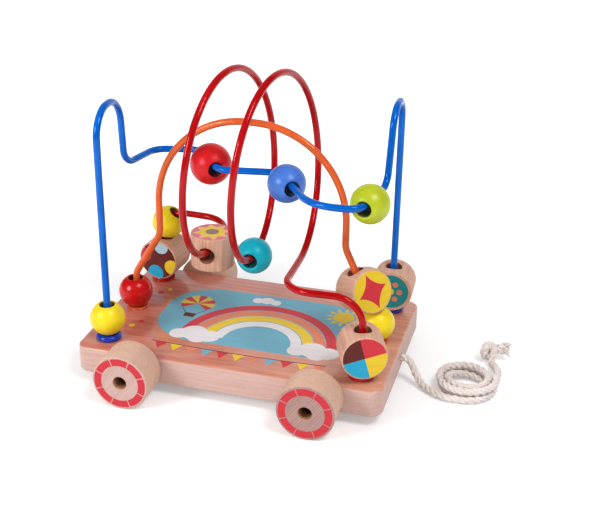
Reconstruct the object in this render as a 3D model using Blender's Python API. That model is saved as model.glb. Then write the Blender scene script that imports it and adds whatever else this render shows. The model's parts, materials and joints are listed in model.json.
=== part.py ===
"""Wooden pull toy: a wheeled board that carries three bent wires with beads and discs, and a pull rope.

All sizes are in millimetres and become metres in the scene. +X is the pull end, +Z is up, the floor is z = 0.
"""

import math

import bmesh
import bpy
from mathutils import Matrix, Vector

MM = 0.001

# Clearances
fit_gap = 0.3
seat_gap = 0.25

# Board
board_length = 220.0
board_width = 140.0
board_thickness = 20.0
board_corner_radius = 9.0
board_edge_round = 1.8
axle_above_board_middle = 2.0

# Wheels and their screws
wheel_diameter = 40.0
wheel_width = 25.0
wheel_inset = 45.0
wheel_side_gap = 1.0
wheel_edge_round = 1.3
wheel_sides = 24
hub_recess_diameter = 9.6
hub_recess_depth = 13.0
screw_shank_diameter = 5.4
screw_thread_diameter = 4.0
screw_thread_length = 22.0
screw_head_diameter = 7.4
screw_head_height = 2.6

# Wires
wire_diameter = 5.0
foot_inset = 18.0
foot_depth = 12.0
collar_diameter = 18.0
collar_height = 4.2
collar_round = 1.8
orange_collar_diameter = 16.0
orange_collar_height = 1.2
orange_collar_round = 0.6

# Beads and discs
bore_diameter = 10.5
disc_bore_diameter = 12.0
small_bead = 25.0
teal_bead = 26.0
medium_bead = 27.0
large_bead = 30.0
disc_diameter = 31.6
disc_thickness = 25.0
disc_edge_round = 1.2
dots_disc_aside = 2.0
daisy_disc_behind = 6.0

# How the printed faces turn from the near side towards the pull end, in degrees
dots_facing = -5.0
quarters_facing = 22.0
plain_facing = 3.0
star_facing = 50.0

# Where beads rest: a share of their straight stretch, of the wire's lean or of its sag in the bore, or aside
red_bead_along = 0.578
blue_bead_along = 0.26
green_bead_along = 0.38
foot_bead_lean = 0.56
foot_bead_aside = -0.4
red_foot_bead_aside = -1.0
shoulder_bead_sag = 0.55

# How far the shoulder bead rides above the bore below it, so that the disc turns freely
shoulder_bead_lift = 1.2

# Red double loop
loop_bottom_height = 55.0
loop_height = 133.0
loop_depth = 115.0
loop_pitch = 33.4
loop_turns = 2
loop_lean = 0.09
loop_end_drift = 1.6
red_shoulder_height = 58.0
red_entry_bend = 22.0
red_shoulder_bend = 20.0

# Blue wire
blue_low_height = 115.0
blue_arch_height = 166.0
blue_arch_bend = 20.0
blue_right_arch_bend = 16.0
blue_bend = 12.0
blue_wide_bend = 14.0
blue_sweep_bend = 30.0

# Orange wire
orange_arch_height = 153.0
orange_arch_bend = 66.0
orange_hip_bend = 18.0
orange_foot_bend = 15.0
orange_left_leg_height = 28.0
orange_left_hip_height = 62.0
orange_right_leg_height = 14.0
orange_right_hip_height = 69.0

# Rope
rope_diameter = 5.5
rope_hole_depth = 12.5
rope_floor_gap = 0.1
coil_centre_x = 157.0
coil_centre_y = 0.5
coil_start_angle = -99.0
coil_least_radius = 12.2
coil_pitch = 6.1
coil_turned_in = 600.0
coil_turned = 1190.0
coil_turn_back = 35.0
coil_climb = 180.0
coil_layer_gap = 0.5
knot_width = 11.5
knot_height = 14.5
knot_tail = 16.5
knot_lift = 0.35
tail_direction = (0.88, 0.45, -0.16)

# Places worked out from the sizes above
axle_height = wheel_diameter / 2
wheel_base = board_length - 2 * wheel_inset
board_bottom = axle_height - axle_above_board_middle - board_thickness / 2
deck = board_bottom + board_thickness
foot_x = board_length / 2 - foot_inset
foot_y = board_width / 2 - foot_inset
wire_radius = wire_diameter / 2
bore_radius = bore_diameter / 2
rope_radius = rope_diameter / 2
collar_top = deck + seat_gap + collar_height
seat_height = collar_top + seat_gap
orange_seat_height = deck + seat_gap + orange_collar_height + seat_gap
hang = bore_radius - wire_radius - 2 * fit_gap
disc_hang = disc_bore_diameter / 2 - wire_radius - 2 * fit_gap

WOOD = (0.80, 0.60, 0.42)
STEEL = (0.55, 0.55, 0.56)
ROPE = (0.85, 0.82, 0.75)
RED = (0.72, 0.02, 0.03)
BLUE = (0.02, 0.16, 0.68)
ORANGE = (0.90, 0.22, 0.04)
YELLOW = (0.95, 0.65, 0.03)
GREEN = (0.50, 0.72, 0.04)
TEAL = (0.02, 0.45, 0.50)
BROWN = (0.16, 0.06, 0.03)
PINK = (0.80, 0.30, 0.36)


def material(name, colour, roughness=0.35, metallic=0.0):
    """A Principled material of its own for each piece."""
    made = bpy.data.materials.new(name)
    made.use_nodes = True
    shader = made.node_tree.nodes["Principled BSDF"]
    shader.inputs["Base Color"].default_value = (*colour, 1)
    shader.inputs["Roughness"].default_value = roughness
    shader.inputs["Metallic"].default_value = metallic
    return made


def add_mesh(name, points, faces, colour, place=None, metallic=0.0):
    """A named object from points in millimetres about its own origin, put at place."""
    shape = bmesh.new()
    corners = [shape.verts.new(Vector(point) * MM) for point in points]
    for face in faces:
        shape.faces.new([corners[index] for index in face])
    bmesh.ops.recalc_face_normals(shape, faces=shape.faces)
    mesh = bpy.data.meshes.new(name)
    shape.to_mesh(mesh)
    shape.free()
    piece = bpy.data.objects.new(name, mesh)
    mesh.materials.append(material(name, colour, metallic=metallic))
    bpy.context.scene.collection.objects.link(piece)
    if place is not None:
        place = place.copy()
        place.translation *= MM
        piece.matrix_world = place
    return piece


def frame_at(centre, z_axis, x_axis=None):
    """A placement whose local Z points along z_axis, with local X near x_axis."""
    z_axis = Vector(z_axis).normalized()
    guide = Vector(x_axis) if x_axis is not None else Vector((1, 0, 0))
    if abs(guide.normalized().dot(z_axis)) > 0.99:
        guide = Vector((0, 1, 0))
    y_axis = z_axis.cross(guide).normalized()
    x_axis = y_axis.cross(z_axis)
    turn = Matrix((x_axis, y_axis, z_axis)).transposed().to_4x4()
    turn.translation = Vector(centre)
    return turn


def ring_solid(profile, segments, half_step=False):
    """A closed profile of (radius, height) points, off the axis, turned about Z."""
    offset = 0.5 if half_step else 0.0
    points = []
    for step in range(segments):
        angle = 2 * math.pi * (step + offset) / segments
        points += [(radius * math.cos(angle), radius * math.sin(angle), height) for radius, height in profile]
    count = len(profile)
    faces = []
    for step in range(segments):
        here = step * count
        there = (step + 1) % segments * count
        for index in range(count):
            following = (index + 1) % count
            faces.append((here + index, there + index, there + following, here + following))
    return points, faces


def capped_solid(profile, segments):
    """A profile of (radius, height) points turned about Z and closed by a flat face at each end."""
    points, faces = ring_solid(profile, segments)
    count = len(profile)
    faces = [face for index, face in enumerate(faces) if index % count != count - 1]
    faces.append([step * count for step in range(segments)])
    faces.append([step * count + count - 1 for step in range(segments)])
    return points, faces


def corner_arc(centre_r, centre_z, radius, start, end, steps):
    """Points of a rounded edge in a (radius, height) profile, angles in degrees."""
    arc = []
    for step in range(steps + 1):
        angle = math.radians(start + (end - start) * step / steps)
        arc.append((centre_r + radius * math.cos(angle), centre_z + radius * math.sin(angle)))
    return arc


def cutter(name, points, faces, place):
    """A helper that cuts holes and isn't part of the toy."""
    tool = add_mesh(name, points, faces, STEEL, place)
    tool.hide_render = True
    tool.display_type = "WIRE"
    return tool


def cut(piece, tool):
    step = piece.modifiers.new(tool.name, "BOOLEAN")
    step.operation = "DIFFERENCE"
    step.solver = "EXACT"
    step.object = tool


def drill(piece, name, mouth, direction, diameter, depth, sides=16):
    """A round hole from just outside mouth, running depth along direction."""
    overrun = 1.0
    profile = [(diameter / 2, -overrun), (diameter / 2, depth)]
    points, faces = capped_solid(profile, sides)
    cut(piece, cutter(name, points, faces, frame_at(mouth, direction)))


def tube(name, points, radius, colour, sides_level=2):
    """A round bar through the points, closed at both ends."""
    curve = bpy.data.curves.new(name, "CURVE")
    curve.dimensions = "3D"
    curve.bevel_depth = radius * MM
    curve.bevel_resolution = sides_level
    curve.use_fill_caps = True
    line = curve.splines.new("POLY")
    line.points.add(len(points) - 1)
    for spot, point in zip(line.points, points):
        spot.co = (*(Vector(point) * MM), 1)
    curve.materials.append(material(name, colour))
    piece = bpy.data.objects.new(name, curve)
    bpy.context.scene.collection.objects.link(piece)
    return piece


def turn_at(corners, index):
    """How far a wire turns at one of its inner corners, in radians."""
    arriving = corners[index] - corners[index - 1]
    return arriving.angle(corners[index + 1] - corners[index])


def bend(corners, index, reach, step_degrees=11.0):
    """Points of the arc that rounds a corner of a wire, starting and ending at reach from the corner."""
    corner = corners[index]
    arriving = (corner - corners[index - 1]).normalized()
    leaving = (corners[index + 1] - corner).normalized()
    turn = turn_at(corners, index)
    radius = reach / math.tan(turn / 2)
    centre = corner + (leaving - arriving).normalized() * radius / math.cos(turn / 2)
    start = corner - arriving * reach
    axis = arriving.cross(leaving)
    steps = max(2, math.ceil(math.degrees(turn) / step_degrees))
    return [
        centre + Matrix.Rotation(turn * step / steps, 3, axis) @ (start - centre)
        for step in range(steps + 1)
    ]


def bent_wire(corners, radii):
    """The centreline of a wire bent at each inner corner; two bends that would meet are tightened alike."""
    reaches = [radius * math.tan(turn_at(corners, index) / 2) for index, radius in enumerate(radii, start=1)]
    reaches = [0.0, *reaches, 0.0]
    most_bent = 0.96
    for index in range(len(corners) - 1):
        room = most_bent * (corners[index + 1] - corners[index]).length
        ease = min(1.0, room / (reaches[index] + reaches[index + 1]))
        reaches[index] *= ease
        reaches[index + 1] *= ease
    points = [corners[0]]
    for index in range(1, len(corners) - 1):
        points += bend(corners, index, reaches[index])
    return points + [corners[-1]]


def over_board(share_x, share_y, height):
    """A point above the board: shares of the half foot spacing along X and Y, height above the deck."""
    return Vector((share_x * foot_x, share_y * foot_y, deck + height))


def smooth_line(route, spacing):
    """Points at even steps along a smooth curve through the route points."""
    ends = [2 * route[0] - route[1], *route, 2 * route[-1] - route[-2]]
    fine = []
    for a, b, c, d in zip(ends, ends[1:], ends[2:], ends[3:]):
        for step in range(20):
            t = step / 20
            cubic = (2 * b) + (c - a) * t + (2 * a - 5 * b + 4 * c - d) * t**2
            fine.append((cubic + (3 * b - a - 3 * c + d) * t**3) / 2)
    fine.append(route[-1])
    total = sum((q - p).length for p, q in zip(fine, fine[1:]))
    count = max(2, round(total / spacing))
    points = [fine[0]]
    walked = 0.0
    for p, q in zip(fine, fine[1:]):
        stretch = (q - p).length
        while len(points) < count and walked + stretch >= len(points) * total / count:
            points.append(p.lerp(q, (len(points) * total / count - walked) / stretch))
        walked += stretch
    return points + [fine[-1]]


def make_board():
    """The wooden base with rounded corners and softened edges, drilled for feet, screws and rope."""
    inset = board_edge_round * (1 - math.cos(math.radians(45)))
    half = board_thickness / 2
    levels = [
        (board_edge_round, -half),
        (inset, -half + inset),
        (0.0, -half + board_edge_round),
        (0.0, half - board_edge_round),
        (inset, half - inset),
        (board_edge_round, half),
    ]
    corner_steps = 5
    corner_x = board_length / 2 - board_corner_radius
    corner_y = board_width / 2 - board_corner_radius
    points = []
    for edge_inset, height in levels:
        for quarter, (sign_x, sign_y) in enumerate(((1, 1), (-1, 1), (-1, -1), (1, -1))):
            for step in range(corner_steps + 1):
                angle = math.pi / 2 * (quarter + step / corner_steps)
                radius = board_corner_radius - edge_inset
                x = sign_x * corner_x + radius * math.cos(angle)
                y = sign_y * corner_y + radius * math.sin(angle)
                points.append((x, y, height))
    around = 4 * (corner_steps + 1)
    faces = [list(range(around)), list(range(len(points) - around, len(points)))]
    for level in range(len(levels) - 1):
        for index in range(around):
            following = (index + 1) % around
            low = level * around
            faces.append((low + index, low + following, low + around + following, low + around + index))
    board = add_mesh("base_board", points, faces, WOOD, Matrix.Translation((0, 0, board_bottom + half)))
    foot_hole = wire_diameter + 2 * fit_gap
    for side_x in (-1, 1):
        for place_y in (-1, 0, 1):
            mouth = (side_x * foot_x, place_y * foot_y, deck)
            drill(board, f"foot_hole_{side_x}_{place_y}", mouth, (0, 0, -1), foot_hole, foot_depth + seat_gap)
        for side_y in (-1, 1):
            mouth = (side_x * wheel_base / 2, side_y * board_width / 2, axle_height)
            depth = screw_thread_length + fit_gap
            hole = screw_thread_diameter + 2 * fit_gap
            drill(board, f"screw_hole_{side_x}_{side_y}", mouth, (0, -side_y, 0), hole, depth, sides=10)
    mouth = (board_length / 2, 0, board_bottom + half)
    drill(board, "rope_hole", mouth, (-1, 0, 0), rope_diameter + 2 * fit_gap, rope_hole_depth)


def make_wheels():
    """Four plain wooden wheels, each on a screw whose head lies in the wheel's recess."""
    across_corners = wheel_diameter / math.cos(math.pi / wheel_sides)
    rim = across_corners / 2
    bore = screw_shank_diameter / 2 + fit_gap
    recess_floor = wheel_width - hub_recess_depth
    flat = rim - wheel_edge_round
    profile = [(bore, 0.0)]
    profile += corner_arc(flat, wheel_edge_round, wheel_edge_round, -90, 0, 2)
    profile += corner_arc(flat, wheel_width - wheel_edge_round, wheel_edge_round, 0, 90, 2)
    recess = hub_recess_diameter / 2
    profile += [(recess, wheel_width), (recess, recess_floor), (bore, recess_floor)]
    wheel_points, wheel_faces = ring_solid(profile, wheel_sides, half_step=True)

    shank = screw_shank_diameter / 2
    thread = screw_thread_diameter / 2
    head = screw_head_diameter / 2
    under_head = recess_floor + fit_gap
    shank_end = -wheel_side_gap + fit_gap
    screw_profile = [
        (thread * 0.4, -wheel_side_gap - screw_thread_length),
        (thread, -wheel_side_gap - screw_thread_length + thread),
        (thread, shank_end),
        (shank, shank_end),
        (shank, under_head),
        (head, under_head),
        (head, under_head + screw_head_height * 0.6),
        (head * 0.6, under_head + screw_head_height),
    ]
    screw_points, screw_faces = capped_solid(screw_profile, 10)
    for end, side_x in (("front", 1), ("rear", -1)):
        for hand, side_y in (("left", 1), ("right", -1)):
            inner_face = side_y * (board_width / 2 + wheel_side_gap)
            place = frame_at((side_x * wheel_base / 2, inner_face, axle_height), (0, side_y, 0))
            add_mesh(f"wheel_{end}_{hand}", wheel_points, wheel_faces, WOOD, place)
            add_mesh(f"axle_screw_{end}_{hand}", screw_points, screw_faces, STEEL, place, metallic=1.0)


def blue_corners():
    low = blue_low_height
    top = blue_arch_height
    shares = [
        (-1, -1, -foot_depth),
        (-1, -1, top),
        (-1.02, -0.19, top),
        (-1.016, -0.135, low),
        (-0.935, 0.60, low),
        (-0.576, 0.77, low),
        (-0.299, 0.058, low),
        (0.163, 0.21, low),
        (0.554, -0.79, low),
        (0.913, -0.77, low),
        (1.0, 0.154, low),
        (1.01, 0.346, top),
        (1, 1, top),
        (1, 1, -foot_depth),
    ]
    return [over_board(*share) for share in shares]


def orange_corners():
    left_hip = -0.777
    right_hip = 0.723
    shares = [
        (-1, 0, -foot_depth),
        (-1, 0, orange_left_leg_height),
        (left_hip, 0, orange_left_hip_height),
        (left_hip, 0, orange_arch_height),
        (right_hip, 0, orange_arch_height),
        (right_hip, 0, orange_right_hip_height),
        (1, 0, orange_right_leg_height),
        (1, 0, -foot_depth),
    ]
    return [over_board(*share) for share in shares]


def loop_point(turn):
    """A point of the red double loop; turn runs from minus to plus half of loop_turns."""
    angle = 2 * math.pi * turn
    y = -loop_depth / 2 * math.sin(angle)
    z = deck + loop_bottom_height + loop_height / 2 * (1 - math.cos(angle))
    return Vector((loop_pitch * turn + loop_lean * y, y, z))


def red_end():
    """Corners from the last low point of the double loop to the foot at the front right."""
    low = loop_point(loop_turns / 2)
    entry = Vector((low.x + loop_end_drift, -foot_y, deck + (loop_bottom_height + red_shoulder_height) / 2))
    return [low, entry, over_board(1, -1, red_shoulder_height), over_board(1, -1, -foot_depth)]


def red_points():
    end = bent_wire(red_end(), (red_entry_bend, red_shoulder_bend))
    steps = 36 * loop_turns
    loops = [loop_point(loop_turns * (step / steps - 0.5)) for step in range(1, steps)]
    start = [Vector((-point.x, -point.y, point.z)) for point in reversed(end)]
    return start + loops + end


def make_wires():
    blue_radii = (
        blue_arch_bend,
        blue_arch_bend,
        blue_bend,
        blue_wide_bend,
        blue_wide_bend,
        blue_bend,
        blue_bend,
        blue_sweep_bend,
        blue_bend,
        blue_bend,
        blue_right_arch_bend,
        blue_right_arch_bend,
    )
    orange_radii = (
        orange_foot_bend,
        orange_hip_bend,
        orange_arch_bend,
        orange_arch_bend,
        orange_hip_bend,
        orange_foot_bend,
    )
    tube("blue_wire", bent_wire(blue_corners(), blue_radii), wire_radius, BLUE)
    tube("orange_wire", bent_wire(orange_corners(), orange_radii), wire_radius, ORANGE)
    tube("red_wire", red_points(), wire_radius, RED)


def collar_solid(diameter, height, rounding):
    """Points and faces of a rounded ring that a wire foot passes through."""
    inner = wire_radius + fit_gap
    outer = diameter / 2
    foot = 0.25 * height
    profile = [(inner, 0.0), (outer - foot, 0.0), (outer, foot)]
    profile += corner_arc(outer - rounding, height - rounding, rounding, 0, 90, 2)
    profile += [(inner, height)]
    return ring_solid(profile, 16)


def make_collars():
    """A rounded ring round each wire foot, lying on the deck; the orange wire's rings are low."""
    tall = collar_solid(collar_diameter, collar_height, collar_round)
    low = collar_solid(orange_collar_diameter, orange_collar_height, orange_collar_round)
    feet = (
        ("blue_collar_rear", BLUE, tall, -1, -1),
        ("blue_collar_front", BLUE, tall, 1, 1),
        ("orange_collar_rear", ORANGE, low, -1, 0),
        ("orange_collar_front", ORANGE, low, 1, 0),
        ("red_collar_rear", RED, tall, -1, 1),
        ("red_collar_front", RED, tall, 1, -1),
    )
    for name, colour, (points, faces), side_x, side_y in feet:
        place = Matrix.Translation((side_x * foot_x, side_y * foot_y, deck + seat_gap))
        add_mesh(name, points, faces, colour, place)


def on_stretch(corners, index, share):
    """A point and the direction of the straight stretch that starts at corners[index]."""
    run = corners[index + 1] - corners[index]
    return corners[index] + run * share, run.normalized()


def bore_half(outer_diameter):
    """Half the length of the bore through a bead."""
    return math.sqrt((outer_diameter / 2) ** 2 - bore_radius**2)


def disc_rest(outer_diameter):
    """How far a bead's centre stands off a disc whose wide bore it sits on."""
    return math.sqrt((outer_diameter / 2) ** 2 - (disc_bore_diameter / 2) ** 2) + seat_gap


def bead_places():
    """Name, colour, diameter, centre, bore direction and turning centre of each bead."""
    upright = Vector((0, 0, 1))
    foot_seat = seat_height + bore_half(small_bead)
    orange_foot_seat = orange_seat_height + bore_half(small_bead)
    blue = blue_corners()
    drop = upright * hang
    red_spot, red_way = on_stretch(blue, 5, red_bead_along)
    blue_spot, blue_way = on_stretch(blue, 7, blue_bead_along)
    green_spot, green_way = on_stretch(blue, 9, green_bead_along)

    loop_curve = (loop_depth / 2) ** 2 / (loop_height / 2)
    low_point = loop_point(0)
    loop_hub = low_point + upright * loop_curve
    teal_rise = loop_curve - math.sqrt(loop_curve**2 - bore_half(teal_bead) ** 2)

    orange = orange_corners()
    slant = (orange[5] - orange[6]).normalized()
    lean = foot_bead_lean * slant.angle(upright)
    leaning = Vector((-math.sin(lean), 0, math.cos(lean)))
    right_height = orange_seat_height + small_bead / 2
    right_spot = orange[6] + slant * (right_height - orange[6].z) / slant.z
    right_spot.x += foot_bead_aside

    shoulder = over_board(-1, 1, red_shoulder_height)
    shoulder_reach = red_shoulder_bend * math.tan(turn_at(red_end(), 2) / 2)
    hub = shoulder + Vector((red_shoulder_bend, 0, -shoulder_reach))
    rise = seat_height + disc_diameter + disc_rest(small_bead) + shoulder_bead_lift - hub.z
    sag = bore_half(small_bead) ** 2 / (2 * red_shoulder_bend)
    arm = red_shoulder_bend - shoulder_bead_sag * sag
    lift = math.asin(rise / arm)
    rear_spot = hub + Vector((-arm * math.cos(lift), 0, rise))
    rear_way = Vector((math.sin(lift), 0, math.cos(lift)))
    red_foot_spot = Vector((red_foot_bead_aside - foot_x, 0, orange_foot_seat))
    return (
        ("bead_yellow_post", YELLOW, small_bead, Vector((-foot_x, -foot_y, foot_seat)), upright, None),
        ("bead_red_foot", RED, small_bead, red_foot_spot, upright, None),
        ("bead_yellow_foot", YELLOW, small_bead, right_spot, leaning, None),
        ("bead_yellow_shoulder", YELLOW, small_bead, rear_spot, rear_way, hub),
        ("bead_red_large", RED, large_bead, red_spot - drop, red_way, None),
        ("bead_blue", BLUE, medium_bead, blue_spot - drop, blue_way, None),
        ("bead_green", GREEN, medium_bead, green_spot - drop, green_way, None),
        ("bead_teal", TEAL, teal_bead, low_point + upright * teal_rise - drop, Vector((0, -1, 0)), loop_hub),
    )


def make_beads():
    """Round beads with a wide bore; one that follows a bend hangs on a pivot at the bend's centre."""
    for name, colour, diameter, centre, way, pivot in bead_places():
        rim = math.degrees(math.asin(bore_radius / (diameter / 2)))
        profile = corner_arc(0, 0, diameter / 2, 90 - rim, rim - 90, 8)
        points, faces = ring_solid(profile, 16)
        bead = add_mesh(name, points, faces, colour, frame_at(centre, way))
        if pivot is not None:
            hub = bpy.data.objects.new(name + "_pivot", None)
            hub.location = pivot * MM
            bpy.context.scene.collection.objects.link(hub)
            bead.parent = hub
            bead.matrix_parent_inverse = Matrix.Translation(-pivot * MM)


def disc_places():
    """Name, colour, centre, bore direction and printed face's direction of each disc."""
    upright = Vector((0, 0, 1))
    foot_seat = seat_height + disc_diameter / 2
    orange = orange_corners()
    slant = (orange[5] - orange[6]).normalized()
    bead_spot = bead_places()[2][3] - Vector((foot_bead_aside, 0, 0))
    petal_spot = bead_spot + slant * (disc_rest(small_bead) + disc_diameter / 2)
    petal_face = facing(star_facing)
    petal_face = (petal_face - slant * petal_face.dot(slant)).normalized()

    low = loop_point(-loop_turns / 2)
    entry = red_end()[1]
    run = Vector((-entry.x, -entry.y, entry.z)) - low
    run.normalize()
    loop_curve = (loop_depth / 2) ** 2 / (loop_height / 2)
    reach = disc_diameter / 2 - daisy_disc_behind
    rise = loop_curve - math.sqrt(loop_curve**2 - reach**2)
    daisy_spot = low + run * daisy_disc_behind + upright * (rise - disc_hang)
    level_run = Vector((run.x, run.y, 0)).normalized()
    dots_spot = Vector((dots_disc_aside - foot_x, foot_y, foot_seat))
    return (
        ("disc_dots", BROWN, dots_spot, upright, facing(dots_facing)),
        ("disc_quarters", YELLOW, Vector((foot_x, -foot_y, foot_seat)), upright, facing(quarters_facing)),
        ("disc_plain", TEAL, Vector((foot_x, foot_y, foot_seat)), upright, facing(plain_facing)),
        ("disc_star", YELLOW, petal_spot, slant, petal_face),
        ("disc_daisy", PINK, daisy_spot, level_run, upright),
    )


def facing(degrees):
    """A level direction, turned from the near side towards the pull end."""
    angle = math.radians(degrees)
    return Vector((math.sin(angle), -math.cos(angle), 0))


def make_discs():
    """Thick wooden discs, drilled across from rim to rim."""
    half = disc_thickness / 2
    rim = disc_diameter / 2
    flat = rim - disc_edge_round
    profile = corner_arc(flat, -half + disc_edge_round, disc_edge_round, -90, 0, 2)
    profile += corner_arc(flat, half - disc_edge_round, disc_edge_round, 0, 90, 2)
    points, faces = capped_solid(profile, 24)
    for name, colour, centre, way, face in disc_places():
        disc = add_mesh(name, points, faces, colour, frame_at(centre, face, way))
        mouth = centre - way * rim
        drill(disc, name + "_bore", mouth, way, disc_bore_diameter, disc_diameter + 1)


def coil_point(turned):
    """Centre of the rope after it has turned so many degrees: in on the floor, up a layer, out on top."""
    from_middle = math.hypot(turned - coil_turned_in, coil_turn_back) - coil_turn_back
    radius = coil_least_radius + coil_pitch * from_middle / 360
    angle = math.radians(coil_start_angle + turned)
    climbed = (turned - coil_turned_in) / coil_climb + 0.5
    climbed = min(max(climbed, 0.0), 1.0)
    layer = (rope_diameter + coil_layer_gap) * climbed * climbed * (3 - 2 * climbed)
    x = coil_centre_x + radius * math.cos(angle)
    y = coil_centre_y + radius * math.sin(angle)
    return Vector((x, y, rope_radius + rope_floor_gap + layer))


def least_gap(points, diameter):
    """The least gap of a tube to itself, between points further apart along it than two diameters."""
    along = [0.0]
    for p, q in zip(points, points[1:]):
        along.append(along[-1] + (q - p).length)
    gaps = []
    for i, p in enumerate(points):
        for j in range(i):
            if along[i] - along[j] > 2 * diameter:
                gaps.append((p - points[j]).length - diameter)
    return min(gaps)


def make_rope():
    """The pull rope: from the board's end down to the floor, round its coil and into a knot."""
    floor = rope_radius + rope_floor_gap
    exit_height = board_bottom + board_thickness / 2
    end = board_length / 2
    start = coil_point(0)
    route = [
        (end - rope_hole_depth + fit_gap, 0, exit_height),
        (end, 0, exit_height),
        (end + 4.9, -0.6, 17.0),
        (end + 8.4, -2.1, 14.0),
        (end + 13.0, -5.6, 7.4),
        (126.4, -8.4, 4.2),
        (129.8, -11.2, floor),
        (134.6, -15.1, floor),
        (139.5, -18.3, floor),
        (145.5, -20.5, floor),
    ]
    arriving = (coil_point(15) - start).normalized()
    route = [Vector(point) for point in route]
    route += [start - arriving * (rope_diameter + fit_gap), start - arriving * fit_gap]
    tube("rope_lead", smooth_line(route, rope_diameter), rope_radius, ROPE)

    steps = round(coil_turned / 15)
    coil = [coil_point(coil_turned * step / steps) for step in range(steps + 1)]
    loose_end = [(178.3, 12.5, 8.5), (176.9, 20.5, 6.9), (174.6, 28.0, 4.6), (172.2, 34.5, floor + 0.3)]
    off_coil = coil[-3:] + [Vector(point) for point in loose_end]
    coil = coil[:-3] + smooth_line(off_coil, rope_diameter)
    leaving = (coil[-1] - coil[-2]).normalized()
    rising = (Vector((leaving.x, leaving.y, 0)).normalized() + Vector((0, 0, knot_lift))).normalized()
    coil.append(coil[-1] + rising * rope_diameter)
    tube("rope_coil", coil, rope_radius, ROPE, sides_level=1)
    fine = smooth_line([coil_point(coil_turned * step / 100) for step in range(99)] + off_coil, 0.8)
    print(f"rope coil: least gap to itself {least_gap(fine, rope_diameter):.2f} mm")

    mouth = coil[-1] + rising * fit_gap
    centre = mouth + rising * (knot_width / 2)
    centre.z = knot_height / 2 + rope_floor_gap
    levels = 6
    profile = []
    for step in range(1, levels):
        angle = math.pi * step / levels - math.pi / 2
        profile.append((knot_width / 2 * math.cos(angle), knot_height / 2 * math.sin(angle)))
    points, faces = capped_solid(profile, 12)
    knot = add_mesh("rope_end_knot", points, faces, ROPE, Matrix.Translation(centre))
    stubs = (
        ("rope_into_knot", mouth, rising, knot_width / 2),
        ("rope_out_of_knot", centre, Vector(tail_direction).normalized(), knot_tail),
    )
    for name, foot, way, length in stubs:
        profile = [(rope_radius, 0.0), (rope_radius, length)]
        stub = cutter(name, *capped_solid(profile, 8), frame_at(foot, way))
        join = knot.modifiers.new(name, "BOOLEAN")
        join.operation = "UNION"
        join.solver = "EXACT"
        join.object = stub


for old in list(bpy.data.objects):
    bpy.data.objects.remove(old)
make_board()
make_wheels()
make_wires()
make_collars()
make_beads()
make_discs()
make_rope()
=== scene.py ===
"""Looks of the wheeled bead maze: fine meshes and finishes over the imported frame, a studio and its camera.

Lengths are in millimetres and become metres in the meshes. +X is the pull end, +Z is up, the floor is z = 0.
"""

import json
import random
from math import atan2, ceil, cos, degrees, hypot, pi, radians, sin, sqrt, tan

import bmesh
import bpy
from mathutils import Matrix, Vector, noise


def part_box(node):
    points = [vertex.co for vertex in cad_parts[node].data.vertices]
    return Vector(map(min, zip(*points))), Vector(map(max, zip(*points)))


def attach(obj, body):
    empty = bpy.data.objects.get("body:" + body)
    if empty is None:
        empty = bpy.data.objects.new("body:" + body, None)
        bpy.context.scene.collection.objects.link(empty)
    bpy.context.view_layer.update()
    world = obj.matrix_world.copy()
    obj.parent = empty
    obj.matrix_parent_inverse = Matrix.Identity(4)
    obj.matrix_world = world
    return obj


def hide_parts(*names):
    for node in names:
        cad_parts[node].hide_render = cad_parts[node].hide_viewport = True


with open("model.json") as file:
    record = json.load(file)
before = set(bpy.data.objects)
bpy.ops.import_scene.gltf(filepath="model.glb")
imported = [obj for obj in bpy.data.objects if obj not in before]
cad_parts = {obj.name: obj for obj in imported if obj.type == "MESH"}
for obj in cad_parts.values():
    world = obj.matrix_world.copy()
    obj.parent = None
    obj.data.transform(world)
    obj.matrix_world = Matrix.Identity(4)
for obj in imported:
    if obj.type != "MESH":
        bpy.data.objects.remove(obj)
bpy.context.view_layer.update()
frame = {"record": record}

MM = 0.001
ROOT = "toy"

# Sizes that follow the solids
fit_gap = 0.3
foot_inset = 18.0
wire_radius = 2.5
wire_foot_depth = 12.0
bore_radius = 5.2
disc_bore_radius = 6.0
disc_radius = 15.8
disc_half = 12.5
wheel_radius = 20.0
wheel_width = 25.0
hub_recess_radius = 4.8
hub_recess_depth = 13.0
rope_radius = 2.75
rope_hole_radius = 3.1
rope_hole_depth = 12.5
bead_diameters = {
    "yellow_post": 25.0,
    "red_foot": 25.0,
    "yellow_foot": 25.0,
    "yellow_shoulder": 25.0,
    "teal": 26.0,
    "blue": 27.0,
    "green": 27.0,
    "red_large": 30.0,
}

# Edges that turn more than this, in degrees, stay sharp
hard_crease = 35.0
soft_crease = 60.0
bore_crease = 50.0

# Places read from the frame
joints = {joint["child"]: joint for joint in frame["record"]["behaviour"]["joints"]}


def box_mm(node):
    low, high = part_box(node)
    return Vector(low) / MM, Vector(high) / MM


def middle(node):
    low, high = box_mm(node)
    return (low + high) / 2


board_low, board_high = box_mm("base_board")
board_middle = (board_low + board_high) / 2
deck = board_high.z
foot_x = board_high.x - foot_inset
foot_y = board_high.y - foot_inset


# Meshes, each shape as its points and faces


def add_object(name, data):
    made = bpy.data.objects.new(name, data)
    bpy.context.scene.collection.objects.link(made)
    return made


def smooth(mesh, crease):
    mesh.shade_smooth()
    mesh.set_sharp_from_angle(angle=radians(crease))


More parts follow.
